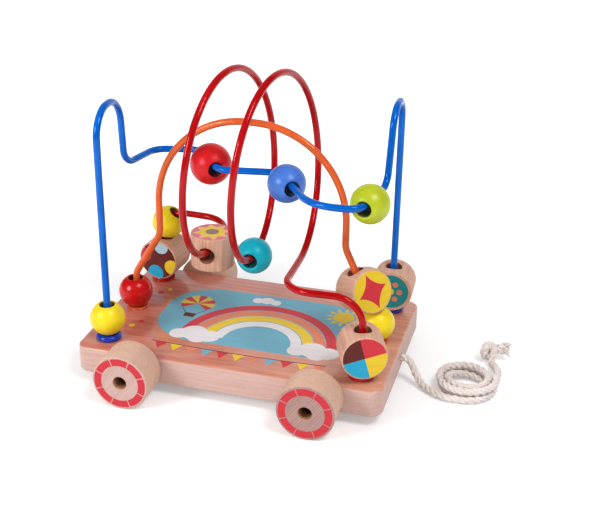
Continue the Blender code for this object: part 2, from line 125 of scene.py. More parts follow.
def add_piece(name, shape, finish, place=None, crease=hard_crease):
    """A closed mesh from points in millimetres about its own origin, put at place."""
    points, faces = shape
    mould = bmesh.new()
    corners = [mould.verts.new(Vector(point) * MM) for point in points]
    for face in faces:
        mould.faces.new([corners[index] for index in face])
    bmesh.ops.recalc_face_normals(mould, faces=mould.faces)
    mesh = bpy.data.meshes.new(name)
    mould.to_mesh(mesh)
    mould.free()
    mesh.materials.append(finish)
    smooth(mesh, crease)
    piece = add_object(name, mesh)
    if place is not None:
        place = place.copy()
        place.translation *= MM
        piece.matrix_world = place
    return piece


def dress(piece, body, slot, *nodes):
    """The piece moves with a body and may stand for CAD nodes, whose parts are hidden; the slot is not used.
    """
    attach(piece, body)
    if nodes:
        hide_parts(*nodes)
    return piece


def frame_at(centre, z_axis, x_axis=(1, 0, 0)):
    """A placement whose local Z points along z_axis, with local X near x_axis."""
    z_axis = Vector(z_axis).normalized()
    guide = Vector(x_axis)
    if abs(guide.normalized().dot(z_axis)) > 0.99:
        guide = Vector((0, 1, 0))
    y_axis = z_axis.cross(guide).normalized()
    turn = Matrix((y_axis.cross(z_axis), y_axis, z_axis)).transposed().to_4x4()
    turn.translation = Vector(centre)
    return turn


def on_circle(radius, angle, x=0.0, y=0.0):
    """The point at an angle in radians on a circle round x, y."""
    return x + radius * cos(angle), y + radius * sin(angle)


def arc(x, y, radius, start, end, steps):
    """Points along an arc, angles in degrees."""
    points = []
    for step in range(steps + 1):
        angle = radians(start + (end - start) * step / steps)
        points.append(on_circle(radius, angle, x, y))
    return points


def rounded_corners(reach_x, reach_y, radius, steps, x=0.0, y=0.0):
    """A rectangle round x, y with round corners, whose centres lie at reach_x and reach_y from there."""
    outline = []
    for quarter, (sign_x, sign_y) in enumerate(((1, 1), (-1, 1), (-1, -1), (1, -1))):
        for step in range(steps + 1):
            angle = pi / 2 * (quarter + step / steps)
            outline.append(on_circle(radius, angle, x + sign_x * reach_x, y + sign_y * reach_y))
    return outline


def wall_faces(rings, count, walls):
    """Faces between neighbouring rings of count points; with as many walls as rings, they close a round."""
    faces = []
    for ring in range(walls):
        here = ring * count
        there = (ring + 1) % rings * count
        for index in range(count):
            following = (index + 1) % count
            faces.append((here + index, there + index, there + following, here + following))
    return faces


def bar_faces(rings, count):
    """Faces of a closed bar: over its two ends and between its rings."""
    ends = [list(range(count)), list(range((rings - 1) * count, rings * count))]
    return ends + wall_faces(rings, count, rings - 1)


def prism(outline, low, high):
    """A closed block over an outline in the XY plane, from height low to high."""
    points = [Vector((x, y, z)) for z in (low, high) for x, y in outline]
    return points, bar_faces(2, len(outline))


def turned(profile, segments):
    """A closed profile of (radius, height) points, off the axis, turned about Z."""
    points = []
    for step in range(segments):
        angle = 2 * pi * step / segments
        points += [(*on_circle(radius, angle), height) for radius, height in profile]
    return points, wall_faces(segments, len(profile), segments)


def turned_capped(profile, segments):
    """A profile turned about Z, its two ends closed by flat faces."""
    points, faces = turned(profile, segments)
    last = len(profile) - 1
    faces = [face for index, face in enumerate(faces) if index % len(profile) != last]
    faces += [[step * len(profile) + end for step in range(segments)] for end in (0, last)]
    return points, faces


def carried_frames(points):
    """Tangent and two normals at each point of a line, carried along it without twist."""
    tangents = []
    for index in range(len(points)):
        before = points[max(index - 1, 0)]
        after = points[min(index + 1, len(points) - 1)]
        tangents.append((after - before).normalized())
    guide = Vector((0, 0, 1)) if abs(tangents[0].z) < 0.9 else Vector((1, 0, 0))
    normal = (guide - tangents[0] * guide.dot(tangents[0])).normalized()
    frames = []
    for tangent in tangents:
        normal = (normal - tangent * normal.dot(tangent)).normalized()
        frames.append((tangent, normal, tangent.cross(normal)))
    return frames


def spoke(angle, normal, other):
    """The direction at an angle round a line, from its two normals."""
    return cos(angle) * normal + sin(angle) * other


def swept(points, radii, sides):
    """A closed round bar along a line; radii has one radius for each point."""
    corners = []
    for point, radius, (_, normal, other) in zip(points, radii, carried_frames(points)):
        for side in range(sides):
            corners.append(point + radius * spoke(2 * pi * side / sides, normal, other))
    return corners, bar_faces(len(points), sides)


def joined(shapes):
    """One shape from several."""
    points = []
    faces = []
    for more_points, more_faces in shapes:
        start = len(points)
        points += more_points
        faces += [[index + start for index in face] for face in more_faces]
    return points, faces


def cut(piece, cutters):
    """Takes closed shapes out of a piece for good; each cutter is a shape and its place."""
    tools = [add_piece("cutter", shape, None, place) for shape, place in cutters]
    for tool in tools:
        step = piece.modifiers.new("cut", "BOOLEAN")
        step.operation = "DIFFERENCE"
        step.solver = "EXACT"
        step.object = tool
    bpy.context.view_layer.update()
    evaluated = piece.evaluated_get(bpy.context.evaluated_depsgraph_get())
    result = bpy.data.meshes.new_from_object(evaluated)
    piece.modifiers.clear()
    piece.data = result
    smooth(result, hard_crease)
    for tool in tools:
        bpy.data.objects.remove(tool)


def drill(mouth, direction, radius, depth, sides=48):
    """A cutter for a round hole that starts just outside its mouth."""
    overrun = 1.0
    return turned_capped([(radius, -overrun), (radius, depth)], sides), frame_at(mouth, direction)


# Finishes


# How grain lies in a piece: its turn in radians, then its shift in metres
ALONG_X = ((0, 0, 0), (0, 0, 0))


class Nodes:
    """A node tree round one shader, and the few node shapes that are used here."""

    def __init__(self, tree, shader):
        self.tree = tree
        self.shader = tree.nodes[shader]

    def put(self, socket, value):
        if isinstance(value, bpy.types.NodeSocket):
            self.tree.links.new(value, socket)
        else:
            socket.default_value = value

    def fill(self, made, inputs):
        for key, value in inputs.items():
            self.put(made.inputs[key.replace("_", " ")], value)

    def node(self, kind, **inputs):
        made = self.tree.nodes.new(f"ShaderNode{kind}")
        self.fill(made, inputs)
        return made

    def set(self, **inputs):
        self.fill(self.shader, inputs)

    def operate(self, kind, operation, values):
        made = self.tree.nodes.new(f"ShaderNode{kind}")
        made.operation = operation
        for socket, value in zip(made.inputs, values):
            self.put(socket, value)
        return made.outputs

    def maths(self, operation, *values):
        return self.operate("Math", operation, values)[0]

    def between(self, amount, low, high, start=0.0, end=1.0):
        """A value that goes from low to high as the amount goes from start to end."""
        limits = {"From_Min": start, "From_Max": end, "To_Min": low, "To_Max": high}
        return self.node("MapRange", Value=amount, **limits).outputs[0]

    def choose(self, share, first, second):
        """The first number where the share is 0, the second where it is 1."""
        return self.node("Mix", Factor=share, A=first, B=second).outputs["Result"]


class Finish(Nodes):
    """A Principled material."""

    def __init__(self, name):
        self.material = bpy.data.materials.new(name)
        self.material.use_nodes = True
        super().__init__(self.material.node_tree, "Principled BSDF")

    def place(self, lie=ALONG_X, scale=(1, 1, 1)):
        """The piece's own coordinates in metres, turned, shifted and then stretched."""
        turn, shift = lie
        own = self.node("TexCoord").outputs["Object"]
        lying = self.node("Mapping", Vector=own, Rotation=turn, Location=shift).outputs[0]
        return self.node("Mapping", Vector=lying, Scale=scale).outputs[0]

    def axes(self, lie=ALONG_X):
        return self.node("SeparateXYZ", Vector=self.place(lie)).outputs

    def noise(self, cells, detail, rough=0.5, lie=ALONG_X):
        """Noise from 0 to 1; cells to the metre, along each axis of the turned piece."""
        where = self.place(lie, cells)
        made = self.node("TexNoise", Vector=where, Scale=1.0, Detail=detail, Roughness=rough)
        return made.outputs["Fac"]

    def ramp(self, amount, stops):
        """Greys or colours that change with the amount."""
        made = self.node("ValToRGB", Fac=amount)
        band = made.color_ramp
        while len(band.elements) < len(stops):
            band.elements.new(0.5)
        for element, (position, colour) in zip(band.elements, stops):
            element.position = position
            element.color = (*colour, 1) if isinstance(colour, tuple) else (colour, colour, colour, 1)
        return made.outputs["Color"]

    def mix(self, share, first, second, blend="MIX"):
        """A colour between two; inputs 6 and 7 and output 2 are the node's sockets for colours."""
        made = self.node("Mix")
        made.data_type = "RGBA"
        made.blend_type = blend
        self.put(made.inputs["Factor"], share)
        for socket, value in ((made.inputs[6], first), (made.inputs[7], second)):
            self.put(socket, (*value, 1) if isinstance(value, tuple) else value)
        return made.outputs[2]

    def length(self, x=0.0, y=0.0, z=0.0, start=(0, 0, 0)):
        """The length of x, y, z added to a start."""
        away = self.node("CombineXYZ", X=x, Y=y, Z=z).outputs[0]
        moved = self.operate("VectorMath", "ADD", (start, away))["Vector"]
        return self.operate("VectorMath", "LENGTH", (moved,))["Value"]

    def near_axis(self, first, second, span, inner, outer):
        """1 nearer to an axis than inner and 0 beyond outer, which are shares of a span."""
        out = self.maths("DIVIDE", self.length(first, second), span * MM)
        return self.ramp(out, [(inner, 1.0), (outer, 0.0)])

    def with_relief(self, height, strength, depth):
        """The finished material, its surface raised by height."""
        made = self.node("Bump", Height=height, Strength=strength, Distance=depth)
        self.put(self.shader.inputs["Normal"], made.outputs[0])
        return self.material


# The light and the dark shade of each beech
EDGE_BEECH = ((0.73, 0.49, 0.435), (0.59, 0.365, 0.31))
# The deck's red end: partly its own tone, partly painted shade and a painted reflection of the red bead
DECK_BEECH_AND_PAINTED_SHADE = ((0.72, 0.27, 0.19), (0.52, 0.13, 0.08))
TAN_BEECH = ((0.78, 0.40, 0.265), (0.58, 0.20, 0.115))
WHEEL_BEECH = ((0.80, 0.525, 0.395), (0.62, 0.38, 0.27))
FRONT_FACE_BEECH = ((0.52, 0.325, 0.29), (0.35, 0.195, 0.168))
REAR_FACE_BEECH = ((0.68, 0.46, 0.41), (0.54, 0.345, 0.295))
DISC_BEECH = ((0.82, 0.485, 0.355), (0.53, 0.275, 0.18))
# The wall of a wheel's hub recess at its mouth, then the painted shade it darkens to deeper in
HUB_MOUTH = (0.52, 0.27, 0.14)
HUB_PAINTED_SHADE = (0.13, 0.05, 0.022)
# Painted shade inside the discs' bores
BORE_PAINTED_SHADE = (0.31, 0.115, 0.07)

# Where a piece lies off the heart of its tree, and the width of a growth ring, in metres
BOARD_GROWTH = ((0.0, 0.031, 0.092), 0.0034)
DISC_GROWTH = ((0.0, 0.031, 0.092), 0.0021)
WHEEL_GROWTH = ((0.0, 0.09, 0.02), 0.0014)


def times(colour, factor, lift=0.0):
    return tuple(min(1.0, factor * share + lift) for share in colour)


def fibres(finish, lie=ALONG_X):
    """Streaks along the grain, from 0 to 1, and the finest of them alone."""
    broad = finish.noise((14, 240, 240), 4.0, 0.6, lie)
    fine = finish.noise((40, 1100, 1100), 3.0, 0.6, lie)
    return finish.mix(0.45, broad, fine), fine


def grain(finish, beech, ring_share, growth, lie=ALONG_X):
    """The colour of beech and the streaks along its grain; ring_share of its tone is from growth rings."""
    light, dark = beech
    heart, ring_width = growth
    sway_reach = 4.7 * ring_width
    across = finish.axes(lie)
    off_heart = finish.length(y=across["Y"], z=across["Z"], start=heart)
    sway = finish.noise((5, 16, 16), 2.0, lie=lie)
    ring = finish.maths("ADD", off_heart, finish.maths("MULTIPLY", sway, sway_reach))
    wave = finish.maths("SINE", finish.maths("MULTIPLY", ring, 2 * pi / ring_width))
    in_rings = finish.maths("MULTIPLY", finish.between(wave, 0.36, 0.64), ring_share)
    streaks, fine = fibres(finish, lie)
    tone = finish.maths("ADD", in_rings, finish.maths("MULTIPLY", streaks, 1 - ring_share))
    colour = finish.ramp(tone, [(0.34, dark), (0.64, light)])
    flecks = finish.noise((150, 1500, 1500), 1.0, lie=lie)
    fleck_share = finish.ramp(flecks, [(0.63, 0.0), (0.72, 0.34)])
    return finish.mix(fleck_share, colour, times(dark, 0.62)), streaks, fine


def turned_wood(finish, colour, streaks, fine):
    """Turned and sanded beech of a colour."""
    finish.set(Base_Color=colour, Roughness=finish.between(streaks, 0.42, 0.60), Specular_IOR_Level=0.35)
    return finish.with_relief(fine, 0.25, 0.00012)


def ink(name, colour):
    """Printed colour under a satin lacquer: the grain still shows faintly."""
    finish = Finish(name)
    streaks, fine = fibres(finish)
    finish.set(Base_Color=finish.ramp(streaks, [(0.34, times(colour, 0.92)), (0.64, times(colour, 1.04))]))
    finish.set(Roughness=finish.between(streaks, 0.30, 0.42), Specular_IOR_Level=0.22)
    return finish.with_relief(fine, 0.12, 0.00008)


def lacquer(name, colour, shine, rough=0.33):
    """Sprayed paint on a turned bead: a broad satin shine, a slight orange peel and painted shade inside the
    bore.
    """
    finish = Finish(name)
    cloud = finish.noise((70, 70, 70), 3.0)
    peel = finish.noise((650, 650, 650), 2.0)
    sprayed = finish.ramp(cloud, [(0.32, times(colour, 0.86)), (0.66, times(colour, 1.06, 0.004))])
    own = finish.axes()
    in_bore = finish.near_axis(own["X"], own["Y"], 2 * bore_radius, 0.505, 0.545)
    # Painted shade inside the bore: the paint there is darkened, and it is rougher
    finish.set(Base_Color=finish.mix(in_bore, sprayed, times(colour, 0.20, 0.022)))
    dull = finish.maths("MULTIPLY", in_bore, 0.4)
    finish.set(Roughness=finish.maths("ADD", finish.between(cloud, rough, rough + 0.08), dull))
    finish.set(Specular_IOR_Level=0.8, Specular_Tint=(*shine, 1))
    return finish.with_relief(peel, 0.10, 0.00012)


def wire_coat(name, colour, shine):
    """A smooth dipped coat on steel wire, with a tinted shine."""
    finish = Finish(name)
    cloud = finish.noise((45, 45, 45), 2.0)
    ripple = finish.noise((420, 420, 420), 2.0)
    shades = [(0.30, times(colour, 0.84)), (0.68, times(colour, 1.08, 0.003))]
    finish.set(Base_Color=finish.ramp(cloud, shades), Roughness=finish.between(cloud, 0.07, 0.12))
    finish.set(Specular_IOR_Level=0.5, Specular_Tint=(*shine, 1))
    return finish.with_relief(ripple, 0.08, 0.00015)


def gloss_plastic(name, colour):
    """Moulded plastic with a clear shine."""
    finish = Finish(name)
    cloud = finish.noise((120, 120, 120), 2.0)
    shades = [(0.30, times(colour, 0.88)), (0.70, times(colour, 1.08, 0.002))]
    finish.set(Base_Color=finish.ramp(cloud, shades), Roughness=finish.between(cloud, 0.05, 0.10))
    finish.set(Specular_IOR_Level=0.5)
    return finish.with_relief(cloud, 0.04, 0.0002)


def steel(name):
    """Zinc-plated screw steel with fine turning marks."""
    finish = Finish(name)
    marks = finish.noise((300, 300, 3000), 3.0)
    finish.set(Base_Color=finish.ramp(marks, [(0.35, (0.34, 0.33, 0.32)), (0.65, (0.60, 0.59, 0.57))]))
    finish.set(Metallic=1.0, Roughness=finish.between(marks, 0.24, 0.42))
    return finish.with_relief(marks, 0.10, 0.0001)


def cotton(name):
    """Undyed cotton yarn: uneven cream, darker in the hollows of its fine relief, and a soft sheen."""
    finish = Finish(name)
    cloud = finish.noise((90, 90, 90), 3.0)
    hairs = finish.noise((1500, 1500, 1500), 4.0, 0.7)
    creams = [(0.30, (0.86, 0.75, 0.70)), (0.55, (0.92, 0.83, 0.79)), (0.75, (0.96, 0.89, 0.855))]
    # The yarn is darker where its fine relief is low
    darker_in_hollows = finish.ramp(hairs, [(0.30, 0.88), (0.62, 1.0)])
    finish.set(Base_Color=finish.mix(1.0, finish.ramp(cloud, creams), darker_in_hollows, "MULTIPLY"), Roughness=0.92)
    finish.set(Sheen_Weight=0.35, Sheen_Roughness=0.5, Specular_IOR_Level=0.2)
    return finish.with_relief(hairs, 0.5, 0.0003)


# Each ink's slot and colour
INKS = {
    "red": ("red_paint", (0.645, 0.035, 0.052)),
    "coral": ("red_paint", (0.76, 0.235, 0.13)),
    "pink": ("red_paint", (0.66, 0.19, 0.21)),
    "peach": ("red_paint", (0.84, 0.46, 0.36)),
    "yellow": ("yellow_paint", (0.84, 0.58, 0.03)),
    "sky": ("blue_paint", (0.165, 0.44, 0.57)),
    "cyan": ("blue_paint", (0.018, 0.40, 0.63)),
    "pale_blue": ("blue_paint", (0.40, 0.58, 0.70)),
    "teal": ("teal_paint", (0.02, 0.26, 0.29)),
    "brown": ("beech_wood", (0.12, 0.014, 0.010)),
    "grey": ("beech_wood", (0.25, 0.17, 0.15)),
    "white": ("beech_wood", (0.80, 0.77, 0.79)),
}
inks = {name: ink(f"ink_{name}", colour) for name, (_, colour) in INKS.items()}


# Printed shapes, as outlines in a face's own plane


def circle(x, y, radius, steps=72):
    return [on_circle(radius, 2 * pi * step / steps, x, y) for step in range(steps)]


def ring_part(x, y, inner, outer, start, end, steps=40):
    """A piece of a ring between two angles in degrees."""
    return arc(x, y, outer, start, end, steps) + arc(x, y, inner, start, end, steps)[::-1]


def clipped(outline, window):
    """The part of a convex outline that lies inside a convex window, both counter-clockwise."""
    for (ax, ay), (bx, by) in zip(window, window[1:] + window[:1]):
        kept = []
        for (px, py), (qx, qy) in zip(outline, outline[1:] + outline[:1]):
            from_p = (bx - ax) * (py - ay) - (by - ay) * (px - ax)
            from_q = (bx - ax) * (qy - ay) - (by - ay) * (qx - ax)
            if from_p >= 0:
                kept.append((px, py))
            if from_p * from_q < 0:
                share = from_p / (from_p - from_q)
                kept.append((px + share * (qx - px), py + share * (qy - py)))
        outline = kept
    return outline


def cloud_outline(puffs, steps=64):
    """The outline round overlapping circles given as (x, y, radius)."""
    middle_x = sum(x for x, _, _ in puffs) / len(puffs)
    middle_y = sum(y for _, y, _ in puffs) / len(puffs)
    edge = []
    for puff in puffs:
        others = [other for other in puffs if other is not puff]
        for px, py in circle(*puff, steps):
            if all(hypot(px - x, py - y) >= radius for x, y, radius in others):
                edge.append((px, py))
    return sorted(edge, key=lambda spot: atan2(spot[1] - middle_y, spot[0] - middle_x))


def star_outline(tips, tip_radius, waist_radius, first_angle, curve, steps=10):
    """A star whose sides curve inwards by curve."""
    outline = []
    step_angle = pi / tips
    for index in range(2 * tips):
        here = radians(first_angle) + index * step_angle
        near, far = (tip_radius, waist_radius) if index % 2 == 0 else (waist_radius, tip_radius)
        for step in range(steps):
            share = step / steps
            radius = near + (far - near) * share - curve * sin(pi * share)
            outline.append(on_circle(radius, here + step_angle * share))
    return outline


def hollow_star(tips, wide, tall, hollow, steps=14):
    """A star whose sides between neighbouring tips are arcs that bow inwards by hollow."""
    corners = []
    for tip in range(tips):
        angle = 2 * pi * tip / tips
        corners.append((wide * cos(angle), tall * sin(angle)))
    outline = []
    for (ax, ay), (bx, by) in zip(corners, corners[1:] + corners[:1]):
        inward = atan2(-(ay + by), -(ax + bx))
        for step in range(steps):
            share = step / steps
            bow = hollow * 4 * share * (1 - share)
            outline.append(on_circle(bow, inward, ax + (bx - ax) * share, ay + (by - ay) * share))
    return outline


def printed(name, outlines, place, colour, body, layer=0):
    """Thin closed islands of ink on a face whose plane is the place's XY plane."""
    sunk = -0.1
    top = 0.05 + 0.03 * layer
    islands = joined([prism(outline, sunk, top) for outline in outlines])
    slot, _ = INKS[colour]
    return dress(add_piece(name, islands, inks[colour], place), body, slot)


# Board


def board_wood():
    """The board's beech: pale edges, and a redder deck under a lacquer that mirrors what stands on it;
    towards the rear left the deck is darker and redder, partly its own tone and partly painted shade and a
    painted reflection of the red bead.
    """
    lean, tan_start, tan_end = 0.5, -20.0, 125.0
    finish = Finish("beech_board")
    edge, streaks, fine = grain(finish, EDGE_BEECH, 0.22, BOARD_GROWTH)
    red_top_and_painted_shade, _, _ = grain(finish, DECK_BEECH_AND_PAINTED_SHADE, 0.3, BOARD_GROWTH)
    tan_top, _, _ = grain(finish, TAN_BEECH, 0.3, BOARD_GROWTH)
    own = finish.axes()
    # Red at the rear left to tan at the front right; the red end holds painted shade and a painted
    # reflection of the red bead
    to_near_front = finish.maths("SUBTRACT", own["X"], finish.maths("MULTIPLY", own["Y"], lean))
    tan_share = finish.between(to_near_front, 0.0, 1.0, tan_start * MM, tan_end * MM)
    height = finish.maths("DIVIDE", own["Z"], (board_high.z - board_low.z) / 2 * MM)
    on_deck = finish.ramp(height, [(0.88, 0.0), (0.985, 1.0)])
    finish.set(Base_Color=finish.mix(on_deck, edge, finish.mix(tan_share, red_top_and_painted_shade, tan_top)))
    finish.set(Roughness=finish.between(streaks, 0.40, 0.54), Specular_IOR_Level=0.3)
    finish.set(Coat_Weight=on_deck, Coat_Roughness=0.16, Coat_IOR=1.6)
    return finish.with_relief(fine, 0.2, 0.0001)


def make_board():
    """The slab with round corners, softened edges, its foot holes and the rope hole."""
    corner_radius = 9.0
    edge_round = 1.7
    half = (board_high - board_low) / 2
    edge = arc(0, 0, edge_round, -90, 0, 8)
    levels = [(edge_round - x, -half.z + edge_round + z) for x, z in edge]
    levels += [(inset, -height) for inset, height in reversed(levels)]
    points = []
    for inset, height in levels:
        ring = rounded_corners(half.x - corner_radius, half.y - corner_radius, corner_radius - inset, 20)
        points += [(x, y, height) for x, y in ring]
    slab = (points, bar_faces(len(levels), len(ring)))
    board = add_piece("board", slab, board_wood(), Matrix.Translation(board_middle))
    holes = []
    for side_x in (-1, 1):
        for side_y in (-1, 0, 1):
            mouth = (side_x * foot_x, side_y * foot_y, deck)
            holes.append(drill(mouth, (0, 0, -1), wire_radius + fit_gap, wire_foot_depth + fit_gap))
    mouth = (board_high.x, 0, board_middle.z)
    holes.append(drill(mouth, (-1, 0, 0), rope_hole_radius, rope_hole_depth))
    cut(board, holes)
    dress(board, ROOT, "beech_wood", "base_board")


def make_deck_print():
    """A rainbow over clouds, with a balloon, a sun and a string of pennants."""
    face = Matrix.Translation((0, 0, deck))

    def lay(name, outlines, colour, layer=0):
        printed(f"deck_print_{name}", outlines, face, colour, ROOT, layer)

    sky_x, sky_y, sky_long, sky_wide, sky_round = 4.0, 3.0, 75.0, 42.0, 34.0
    sky = rounded_corners(sky_long - sky_round, sky_wide - sky_round, sky_round, 18, sky_x, sky_y)
    lay("sky", [sky], "sky")

    bow_x, bow_y, bow_outer, bow_width, bow_gap = 10.0, -29.0, 58.0, 7.6, 0.9
    for index, colour in enumerate(("red", "coral", "yellow", "white")):
        outer = bow_outer - index * (bow_width + bow_gap)
        lay(f"bow_{colour}", [ring_part(bow_x, bow_y, outer - bow_width, outer, 0, 180, 72)], colour, 1)

    foot_reach = 44.0
    foot_puffs = ((-13, -31, 7.0), (-3, -27, 10.0), (9, -29.5, 8.2), (2, -33, 7.5))
    clouds = []
    for foot in (bow_x - foot_reach, bow_x + foot_reach):
        clouds.append(cloud_outline([(foot + x, y, radius) for x, y, radius in foot_puffs]))
    clouds.append(cloud_outline([(-8, 35, 4.2), (-1, 36.5, 5.2), (6, 35, 4.0)]))
    lay("clouds", clouds, "white", 2)

    sun_x, sun_y, sun_radius, rays = 61.0, 27.0, 8.0, 12
    ray_corners = ((9.2, -0.2), (14.5, 0.0), (9.2, 0.2))
    sun = [circle(sun_x, sun_y, sun_radius)]
    for ray in range(rays):
        angle = 2 * pi * ray / rays
        sun.append([on_circle(reach, angle + turn, sun_x, sun_y) for reach, turn in ray_corners])
    lay("sun", sun, "yellow", 1)

    ball_x, ball_y, ball_inner, ball_outer, gore_width, gore_pitch = -50.0, 17.0, 0.2, 13.0, 27, 30
    gores = []
    for start in range(-45, 225, gore_pitch):
        gores.append(ring_part(ball_x, ball_y, ball_inner, ball_outer, start, start + gore_width, 8))
    lay("balloon_red", gores[0::2], "red", 1)
    lay("balloon_yellow", gores[1::2], "yellow", 1)
    basket_corners = ((-4, -22), (4, -22), (4.6, -16), (-4.6, -16))
    rope_corners = ((4.2, -15.6), (5.0, -15.6), (9.3, -9.3), (8.5, -9.6))
    hanging = [[(ball_x + x, ball_y + y) for x, y in basket_corners]]
    for side in (-1, 1):
        hanging.append([(ball_x + side * x, ball_y + y) for x, y in rope_corners])
    lay("balloon_basket", hanging, "brown", 1)

    string_x, string_y, string_half, sag = 4.0, -46.5, 63.8, 2.2

    def string_at(x):
        return string_y - sag * (1 - ((x - string_x) / string_half) ** 2)

    half_pennant, drop, pitch, each_side = 4.5, 8.5, 11.6, 5
    pennants = {"red": [], "yellow": [], "coral": [], "sky": []}
    for index in range(2 * each_side + 1):
        x = string_x + pitch * (index - each_side)
        top = string_at(x)
        colour = list(pennants)[index % len(pennants)]
        pennants[colour].append([(x - half_pennant, top), (x, top - drop), (x + half_pennant, top)])
    for colour, outlines in pennants.items():
        lay(f"pennants_{colour}", outlines, colour)
    thread_start, thread_long, thread_up, thread_width, steps = -62.0, 128.0, 0.9, 0.7, 40
    line = []
    for step in range(steps + 1):
        x = thread_start + thread_long * step / steps
        line.append((x, string_at(x) + thread_up))
    thread = line + [(x, y - thread_width) for x, y in reversed(line)]
    lay("thread", [thread[::-1]], "brown", 1)

    dots = {
        "red": [(-84, 26, 2.4), (-80, -22, 2.0), (84, -22, 2.4)],
        "yellow": [(-79, 33, 1.8), (-84, -30, 2.4), (88, 24, 2.0)],
    }
    for colour, spots in dots.items():
        lay(f"dots_{colour}", [circle(*spot, 32) for spot in spots], colour)


# Wheels


def wheel_wood(name, shift, face_beech, face_rings):
    """A wheel's beech: a plain tread, slanting growth lines on the face, and painted shade that deepens from
    the mouth of the drilled hub inwards.
    """
    finish = Finish(name)
    slanting = ((0, 0, radians(-52)), shift)
    tread, streaks, fine = grain(finish, WHEEL_BEECH, 0.26, WHEEL_GROWTH, slanting)
    face, _, _ = grain(finish, face_beech, face_rings, WHEEL_GROWTH, slanting)
    own = finish.axes()
    depth = finish.maths("DIVIDE", own["Z"], wheel_width * MM)
    colour = finish.mix(finish.ramp(depth, [(0.965, 0.0), (0.99, 1.0)]), tread, face)
    hub = hub_recess_radius / wheel_radius
    in_hub = finish.near_axis(own["X"], own["Y"], wheel_radius, hub + 0.002, hub + 0.016)
    # Painted shade in the hub recess: the wall darkens from its mouth inwards
    hub_painted_shade = finish.ramp(depth, [(0.60, HUB_PAINTED_SHADE), (0.97, HUB_MOUTH)])
    return turned_wood(finish, finish.mix(in_hub, colour, hub_painted_shade), streaks, fine)


def make_wheels():
    """Turned wheels with a ring of printed bars, each on a screw that lies in its hub."""
    edge, lip, bore = 0.9, 0.4, 3.0
    recess_floor = wheel_width - hub_recess_depth
    profile = [(bore, 0.0)]
    profile += arc(wheel_radius - edge, edge, edge, -90, 0, 6)
    profile += arc(wheel_radius - edge, wheel_width - edge, edge, 0, 90, 6)
    profile += arc(hub_recess_radius + lip, wheel_width - lip, lip, 90, 180, 4)
    profile += [(hub_recess_radius, recess_floor), (bore, recess_floor)]
    wheel = turned(profile, 128)
    bar_inner, bar_outer, first_bar, bar_pitch, bar_gap = 13.4, 18.5, 21.6, 45.0, 2.6
    bars = []
    for bar in range(8):
        start = first_bar + bar_pitch * bar
        ends = (start + bar_gap / 2, start + bar_pitch - bar_gap / 2)
        bars.append(ring_part(0, 0, bar_inner, bar_outer, *ends, 14))
    metal = steel("screw_steel")
    wheel_faces = {"front": (FRONT_FACE_BEECH, 0.36), "rear": (REAR_FACE_BEECH, 0.16)}
    for index, (end, wheel_face) in enumerate(wheel_faces.items()):
        for hand, side_y in (("left", 1), ("right", -1)):
            body = f"wheel_{end}_{hand}"
            centre = middle(body)
            centre.y -= side_y * wheel_width / 2
            place = frame_at(centre, (0, side_y, 0))
            shift = (0.05 * index + 0.11, 0.013 + 0.02 * side_y, 0.017 * index)
            wood = wheel_wood(f"beech_{body}", shift, *wheel_face)
            dress(add_piece(f"turned_{body}", wheel, wood, place), body, "beech_wood", body)
            printed(f"ring_{body}", bars, place @ Matrix.Translation((0, 0, wheel_width)), "red", body)
            screw = make_screw(f"screw_{end}_{hand}", place, recess_floor, metal)
            dress(screw, ROOT, "steel", f"axle_screw_{end}_{hand}")


def make_screw(name, place, recess_floor, metal):
    """A pan-head screw with a cross recess, its shank through the hub and its thread in the board."""
    under = recess_floor + fit_gap
    tip, thread, shank, head, head_edge = 0.8, 2.0, 2.7, 3.7, 0.3
    tip_end, tip_start, shoulder, flank, dome = -23.0, -20.5, -0.7, 1.2, 1.4
    profile = [(tip, tip_end), (thread, tip_start), (thread, shoulder), (shank, shoulder), (shank, under)]
    profile += [(head - head_edge, under), (head, under + head_edge), (head, under + flank)]
    for angle in (20, 40, 60, 75):
        turn = radians(angle)
        profile.append((head * cos(turn), under + flank + dome * sin(turn)))
    screw = add_piece(name, turned_capped(profile, 48), metal, place)
    wide, long, deep, overrun = 0.5, 2.1, 1.5, 1.4
    outline = ((-long, -wide), (long, -wide), (long, wide), (-long, wide))
    crown = under + flank + dome
    slot = prism(outline, crown - deep, crown + overrun)
    cut(screw, [(slot, place @ Matrix.Rotation(radians(turn), 4, "Z")) for turn in (35, 125)])
    return screw


# Wires


def over_board(share_x, share_y, height):
    """A point above the board: shares of the half foot spacing along X and Y, height above the deck."""
    return Vector((share_x * foot_x, share_y * foot_y, deck + height))


def turn_at(corners, index):
    arriving = corners[index] - corners[index - 1]
    return arriving.angle(corners[index + 1] - corners[index])


def bend(corners, index, reach, step_degrees=3.0):
    """Points of the arc that rounds a corner, starting and ending at reach from it."""
    corner = corners[index]
    arriving = (corner - corners[index - 1]).normalized()
    leaving = (corners[index + 1] - corner).normalized()
    turn = turn_at(corners, index)
    radius = reach / tan(turn / 2)
    centre = corner + (leaving - arriving).normalized() * radius / cos(turn / 2)
    start = corner - arriving * reach
    axis = arriving.cross(leaving)
    steps = max(2, ceil(degrees(turn) / step_degrees))
    turns = [Matrix.Rotation(turn * step / steps, 3, axis) for step in range(steps + 1)]
    return [centre + turning @ (start - centre) for turning in turns]


def bent_wire(corners, radii):
    """The centreline of a wire bent at each inner corner; two bends that would meet are tightened alike."""
    reaches = [radius * tan(turn_at(corners, index) / 2) for index, radius in enumerate(radii, start=1)]
    reaches = [0.0, *reaches, 0.0]
    most_bent = 0.96
    for index in range(len(corners) - 1):
        room = most_bent * (corners[index + 1] - corners[index]).length
        ease = min(1.0, room / (reaches[index] + reaches[index + 1]))
        reaches[index] *= ease
        reaches[index + 1] *= ease
    points = [corners[0]]
    for index in range(1, len(corners) - 1):
        points += bend(corners, index, reaches[index])
    return points + [corners[-1]]


